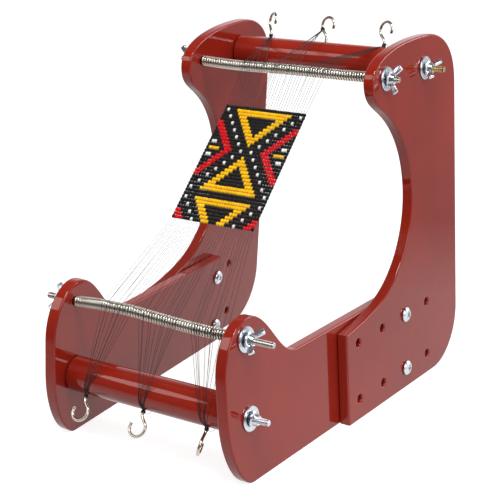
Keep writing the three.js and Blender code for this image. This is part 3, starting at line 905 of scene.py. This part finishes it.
HOOKS = {
    "front": {"centre": FRONT_BEAM, "angle": 232, "x": (-45.7, -2.4, 42.9), "turn": (0, 0, 66)},
    "top": {"centre": TOP_BEAM, "angle": 75, "x": (-44, 0, 44), "turn": (142, 165, 160)},
}


def hook_foot(end, k):
    """Where a hook leaves its beam, +Y outwards."""
    hooks = HOOKS[end]
    return (
        Matrix.Translation(hooks["centre"] + Vector((hooks["x"][k] * MM, 0, 0)))
        @ Matrix.Rotation(math.radians(hooks["angle"]), 4, "X")
        @ Matrix.Translation((0, BEAM_RADIUS, 0))
    )


def hook_place(end, k):
    return hook_foot(end, k) @ Matrix.Rotation(math.radians(HOOKS[end]["turn"][k]), 4, "Y")


class LOOM_OT_hooks(bpy.types.Operator):
    """Nickel-plated screw hooks in the beams"""
    bl_idname = "loom.hooks"
    bl_label = "Hooks"

    def execute(self, context):
        for end in HOOKS:
            for k, position in enumerate(GROUPS):
                node = f"{end}_beam_{position}_hook"
                finish_piece(
                    node + "_wire", placed(hook_shape(), hook_place(end, k)),
                    [metal("nickel plate")], [node], end + "_beam_assembly",
                )
        return {"FINISHED"}


# Weaving

SHEET = Vector((0, TOP_ROD.y - FRONT_ROD.y, TOP_ROD.z - FRONT_ROD.z))
BAND_TOP = 0.0382
BAND_X = CENTRE_X + 0.0074
BAND_LIFT = SPRING_OUTSIDE + 0.00058
BAND_LEAN = math.radians(3)


def band_place():
    """Centre of the band: X across, Y along the warp towards the top rod, Z out of the sheet."""
    beads = settings("loom_beads")
    centre = SHEET.length - BAND_TOP - beads.rows * beads.height / 2
    return (
        Matrix.Translation((BAND_X, FRONT_ROD.y, FRONT_ROD.z))
        @ Matrix.Rotation(math.atan2(SHEET.z, SHEET.y), 4, "X")
        @ Matrix.Translation((0, centre, BAND_LIFT))
    )


def on_band(x, y, z=0.0):
    """A point of the band, whose rows are level and whose columns lean."""
    return band_place() @ Vector((x - y * math.tan(BAND_LEAN), y, z))


def thread_x(k):
    """Where a warp thread runs across the band."""
    beads = settings("loom_beads")
    return (k - beads.columns / 2) * beads.width * 0.985


def bead_colour(row, column, columns):
    """Triangles, chevrons and dotted lines by a rule: 0 black, 1 yellow, 2 white, 3 red."""
    across = abs(column - (columns - 1) // 2)
    step = row % 27
    step = step if step <= 13 else 26 - step
    if 1 <= step <= 11 and across <= 11 - step and not (step >= 3 and across <= 8 - step):
        return 1
    if step == 13 and 11 <= across <= 14:
        return 1
    if step == 11 and across in (13, 14) or step % 2 and across == 15 - step:
        return 2
    if step >= 5 and 19 - step <= across <= 21 - step:
        return 3
    return 0


class LOOM_OT_beadwork(bpy.types.Operator):
    """Band of loom-woven seed beads with the edge turns of its weft"""
    bl_idname = "loom.beadwork"
    bl_label = "Beadwork"

    def execute(self, context):
        beads = settings("loom_beads")
        chance = random.Random(7)
        half = (beads.width - 0.00022) / 2
        bead = turned_piece([
            (-half, 0), (-half, 0.00066), (-half + 0.00028, 0.00106), (0, 0.0012),
            (half - 0.00028, 0.00106), (half, 0.00066), (half, 0),
        ], 10)
        one = bpy.data.meshes.new("bead")
        bead.to_mesh(one)
        bead.free()
        bm = bmesh.new()
        for row in range(beads.rows):
            take_in(bm, self.bead_row(one, row, chance))
        bpy.data.meshes.remove(one)
        glass = [
            seed_glass("black beads", (0.006, 0.005, 0.005)),
            seed_glass("yellow beads", (1.0, 0.54, 0.003)),
            seed_glass("white beads", (0.88, 0.88, 0.86)),
            seed_glass("red beads", (0.68, 0.004, 0.010)),
        ]
        finish_piece("bead_weaving", bm, glass, ["bead_band"], "frame", 60)
        finish_piece("weft_edges", self.weft(), [thread()], [], "frame")
        return {"FINISHED"}

    def bead_row(self, one, row, chance):
        """One row of beads, each a little out of place and size, with its own shade."""
        beads = settings("loom_beads")
        turned = band_place().to_3x3().to_4x4()
        drift = chance.uniform(-0.00010, 0.00010)
        line = bmesh.new()
        shade = line.verts.layers.float.new("bead_shade")
        for column in range(beads.columns):
            x = (column - (beads.columns - 1) / 2) * beads.width + drift
            y = (beads.rows / 2 - row - 0.5) * beads.height + chance.uniform(-0.00006, 0.00006)
            size = chance.uniform(0.95, 1.0)
            jitter = Matrix.Rotation(chance.uniform(-0.06, 0.06), 4, "Z")
            jitter = jitter @ Matrix.Rotation(chance.uniform(0, 0.5), 4, "X")
            spot = Matrix.Translation(on_band(x, y, chance.uniform(-0.00006, 0.00006)))
            shape = turned @ Matrix.Diagonal((1, size * 1.1, size, 1))
            before = len(line.verts), len(line.faces)
            line.from_mesh(one)
            line.verts.ensure_lookup_table()
            line.faces.ensure_lookup_table()
            fresh = line.verts[before[0]:]
            bmesh.ops.transform(line, matrix=spot @ shape @ jitter, verts=fresh)
            tone = chance.random()
            for vert in fresh:
                vert[shade] = tone
            for face in line.faces[before[1]:]:
                face.material_index = bead_colour(row, column, beads.columns)
        return line

    def weft(self):
        """The weft's turns at both edges, and the warp inside the band."""
        beads = settings("loom_beads")
        bm = bmesh.new()
        edge = beads.columns * beads.width / 2
        for sign in (-1, 1):
            points = []
            for row in range(beads.rows):
                y = (row - beads.rows / 2 + 0.5) * beads.height
                points.append(on_band(sign * (edge - 0.0001), y - beads.height * 0.36, 0.0002))
                points.append(on_band(sign * (edge + 0.00015), y, 0.0004))
            take_in(bm, swept(points, beads.thread, 6))
        reach = beads.rows * beads.height / 2 + 0.0003
        for k in range(beads.columns + 1):
            x = thread_x(k)
            take_in(bm, swept([on_band(x, -reach), on_band(x, reach)], beads.thread, 6))
        return bm


# Where each group of threads crosses its spring, in mm across the loom; the degrees over which
# a thread lies on its spring and on its beam; and the group tied high up on its hook
ENDS = {
    "front": {
        "rod": FRONT_ROD, "beam": FRONT_BEAM, "sign": -1, "high": None,
        "crossing": ((-33, -13), (-8, 19), (29, 53)), "spring": (129, 171.5), "wrap": (171.5, 226),
    },
    "top": {
        "rod": TOP_ROD, "beam": TOP_BEAM, "sign": 1, "high": 1,
        "crossing": ((-32, -13), (-9, 9), (13, 31)), "spring": (129, 98), "wrap": (98, 81),
    },
}


# Height of a knot's middle above its foot
KNOT_MIDDLE = 0.0012


def round_points(centre, radius, start, end, count):
    for k in range(count):
        angle = math.radians(start + (end - start) * k / (count - 1))
        yield centre.y + radius * math.cos(angle), centre.z + radius * math.sin(angle)


def knot_place(end, group):
    """Where a group is knotted: round its hook's foot, or round the rising wire of the ring."""
    if ENDS[end]["high"] != group:
        return hook_foot(end, group) @ Matrix.Translation((0, 0.0001, 0))
    angle = math.radians(-33)
    on_ring = Vector((math.cos(angle), math.sin(angle), 0)) * HOOK_RING
    spot = Matrix.Translation((on_ring + Vector((0, HOOK_NECK, 0))) * MM)
    along = Matrix.Rotation(angle, 4, "Z") @ Matrix.Translation((0, -KNOT_MIDDLE, 0))
    return hook_place(end, group) @ spot @ along


def warp_thread(end, group, k, within, chance):
    """One thread: from the band over the spring, round the beam and in to the hook."""
    spec = ENDS[end]
    beads = settings("loom_beads")
    left, right = spec["crossing"][group]
    start = on_band(thread_x(k), spec["sign"] * beads.rows * beads.height / 2)
    spring_x = CENTRE_X + (left + (right - left) * within + chance.uniform(-1.6, 1.6)) * MM
    height = KNOT_MIDDLE + chance.uniform(-0.0008, 0.0008)
    knot = knot_place(end, group) @ Vector((0, height, 0))
    clear = beads.thread * 1.4
    lift = rod_line(end)(spring_x) - Vector((spring_x, spec["rod"].y, spec["rod"].z))
    over = round_points(spec["rod"], SPRING_OUTSIDE + clear, *spec["spring"], 6)
    points = [start] + [Vector((spring_x, y, z)) + lift for y, z in over]
    end_x = knot.x + chance.uniform(-1.0, 1.0) * 0.0009
    wrap = []
    if spec["high"] != group:
        wrap = list(round_points(spec["beam"], BEAM_RADIUS + clear, *spec["wrap"], 9))
    route = [points[-1].yz, *wrap, knot.yz]
    away = list(accumulate(math.dist(a, b) for a, b in pairwise(route)))
    for (y, z), reached in zip(wrap, away):
        share = (reached / away[-1]) ** 1.1
        points.append(Vector((spring_x + (end_x - spring_x) * share, y, z)))
    points.append(Vector((end_x, knot.y, knot.z)))
    return points


def winding(turns, radius, low, high, phase):
    """Points of a thread wound round a knot's axis."""
    steps = 10
    for k in range(turns * steps + 1):
        angle = phase + 2 * math.pi * k / steps
        height = low + (high - low) * k / (turns * steps)
        yield Vector((radius * math.cos(angle), height, radius * math.sin(angle)))


# A knot: its inner and outer winding by turns, radius, start, end and phase; the tail's path
WINDINGS = ((6, 0.00112, 0.0001, 0.0023, 0), (4, 0.00131, 0.0021, 0.0004, 2))
TAIL = (
    (0.0011, 0.0014, 0.0002), (0.0022, 0.0019, 0.0009), (0.0034, 0.0012, 0.0018),
    (0.0043, -0.0002, 0.0021),
)


class LOOM_OT_warp(bpy.types.Operator):
    """Warp threads, gathered in three groups at each end and knotted round the hooks"""
    bl_idname = "loom.warp"
    bl_label = "Warp"

    def execute(self, context):
        beads = settings("loom_beads")
        chance = random.Random(3)
        count = beads.columns + 1
        for end, spec in ENDS.items():
            _, leaving = round_points(spec["rod"], SPRING_OUTSIDE, *spec["spring"], 2)
            reaching, _ = round_points(spec["beam"], BEAM_RADIUS, *spec["wrap"], 2)
            leaving, reaching = Vector((0, *leaving)), Vector((0, *reaching))
            for group, position in enumerate(GROUPS):
                bm = bmesh.new()
                members = [k for k in range(count) if 3 * k // count == group]
                for n, k in enumerate(members):
                    path = warp_thread(end, group, k, n / (len(members) - 1), chance)
                    take_in(bm, swept(path, beads.thread, 6))
                knot = knot_place(end, group)
                for *shape, phase in WINDINGS:
                    path = [knot @ point for point in winding(*shape, group + phase)]
                    take_in(bm, swept(path, beads.thread * 1.25, 6))
                take_in(bm, swept([knot @ Vector(point) for point in TAIL], beads.thread, 6))
                name = f"{end}_warp_{position}"
                finish_piece(
                    name + "_threads", bm, [thread()], [name], "frame", 60,
                    (end + "_beam_assembly", leaving, reaching),
                )
        return {"FINISHED"}


# Stage

class LOOM_OT_stage(bpy.types.Operator):
    """White floor and backdrop, soft lamps and the camera"""
    bl_idname = "loom.stage"
    bl_label = "Stage"

    def execute(self, context):
        scene = context.scene
        data = bpy.data.cameras.new("camera")
        data.sensor_width = 36
        data.lens = 92.52
        data.clip_end = 20
        camera = bpy.data.objects.new("camera", data)
        camera.location = (0.4202 + CENTRE_X, -0.6819 + FRONT_BEAM.y + OUTLINE_BACK, 0.3528)
        camera.rotation_euler = (math.radians(90 - 17.54), 0, math.radians(31.72))
        scene.collection.objects.link(camera)
        scene.camera = camera

        bm = bmesh.new()
        bmesh.ops.create_grid(bm, x_segments=1, y_segments=1, size=6)
        mesh = bpy.data.meshes.new("floor")
        bm.to_mesh(mesh)
        bm.free()
        floor = bpy.data.objects.new("floor", mesh)
        scene.collection.objects.link(floor)
        mesh.materials.append(self.floor_material())
        scene.world = self.studio_world()
        for name, spot, size, power in (
            ("key", (0.40, -0.48, 1.47), 0.40, 11.0),
            ("fill", (1.2, -0.6, 0.9), 0.9, 6.5),
            ("back", (1.0, 1.2, 0.8), 0.9, 7.0),
            ("left", (-0.75, -0.885, 0.96), 0.6, 2.6),
        ):
            light = bpy.data.lights.new(name, "AREA")
            light.shape = "DISK"
            light.size = size
            light.energy = power
            lamp = bpy.data.objects.new(name, light)
            lamp.location = spot
            aim = Vector((0, 0, 0.1)) - Vector(spot)
            lamp.rotation_euler = aim.to_track_quat("-Z", "Y").to_euler()
            scene.collection.objects.link(lamp)
        scene.view_settings.view_transform = "Standard"
        return {"FINISHED"}

    def studio_world(self):
        """White to the camera, a soft light, and mirrored white low down behind and beside."""
        world = bpy.data.worlds.new("studio")
        world.use_nodes = True
        tree = world.node_tree
        tree.nodes.clear()
        output = tree.nodes.new("ShaderNodeOutputWorld")
        way = axes(tree, "Generated")
        behind = ranged(tree, way["Y"], -0.55, -0.05, 0.1, 1.0)
        low = ranged(tree, way["Z"], 0.35, 0.70, 1.0, 0.12)
        soft, mirrored, backdrop = (
            add_node(tree, "ShaderNodeBackground", Color=(1, 1, 1, 1), Strength=strength)
            for strength in (0.6, 1.0, 1.0)
        )
        tree.links.new(product(tree, behind, low).outputs[0], mirrored.inputs["Strength"])
        tree.links.new(by_ray(tree, soft, mirrored, backdrop), output.inputs["Surface"])
        return world

    def floor_material(self):
        """Pale matt floor with the shadow, glowing to the camera, mirrored white further back."""
        material, tree, shader = new_material("white floor")
        shader.inputs["Base Color"].default_value = (*grey(0.42), 1)
        shader.inputs["Roughness"].default_value = 0.9
        shader.inputs["Specular IOR Level"].default_value = 0.1
        place = axes(tree, "Object")
        glow, mirrored = (
            add_node(tree, "ShaderNodeEmission", Strength=strength) for strength in (0.8, 1.0)
        )
        near = ranged(tree, place["Y"], -0.36, -0.16, 0.08, 0.95)
        far = ranged(tree, place["Y"], 0.26, 0.50, 1.0, 0.5)
        tree.links.new(product(tree, near, far).outputs[0], mirrored.inputs["Strength"])
        lit = tree.nodes.new("ShaderNodeAddShader")
        tree.links.new(shader.outputs[0], lit.inputs[0])
        tree.links.new(glow.outputs[0], lit.inputs[1])
        surface = tree.nodes["Material Output"].inputs["Surface"]
        tree.links.new(by_ray(tree, shader, mirrored, lit), surface)
        return material


STEPS = (
    LOOM_OT_stage, LOOM_OT_boards, LOOM_OT_beams, LOOM_OT_rods, LOOM_OT_springs, LOOM_OT_clamps,
    LOOM_OT_bolts, LOOM_OT_hooks, LOOM_OT_beadwork, LOOM_OT_warp,
)
GROUP_CLASSES = {"loom_paint": LoomPaint, "loom_hardware": LoomHardware, "loom_beads": LoomBeads}


class LOOM_PT_panel(bpy.types.Panel):
    """Sizes, colours and steps of the bead loom"""
    bl_idname = "LOOM_PT_panel"
    bl_label = "Bead Loom"
    bl_space_type = "VIEW_3D"
    bl_region_type = "UI"
    bl_category = "Bead Loom"

    def draw(self, context):
        for name in GROUP_CLASSES:
            box = self.layout.box()
            group = getattr(context.scene, name)
            for prop in group.bl_rna.properties:
                if prop.identifier not in {"rna_type", "name"}:
                    box.prop(group, prop.identifier)
        for step in STEPS:
            self.layout.operator(step.bl_idname)


def register():
    for group in GROUP_CLASSES.values():
        bpy.utils.register_class(group)
    for step in STEPS:
        bpy.utils.register_class(step)
    bpy.utils.register_class(LOOM_PT_panel)
    for name, group in GROUP_CLASSES.items():
        setattr(bpy.types.Scene, name, bpy.props.PointerProperty(type=group))


def unregister():
    for name in GROUP_CLASSES:
        delattr(bpy.types.Scene, name)
    bpy.utils.unregister_class(LOOM_PT_panel)
    for step in reversed(STEPS):
        bpy.utils.unregister_class(step)
    for group in GROUP_CLASSES.values():
        bpy.utils.unregister_class(group)


def main():
    register()
    for step in STEPS:
        getattr(bpy.ops.loom, step.bl_idname.split(".")[1])()


if __name__ == "__main__":
    main()
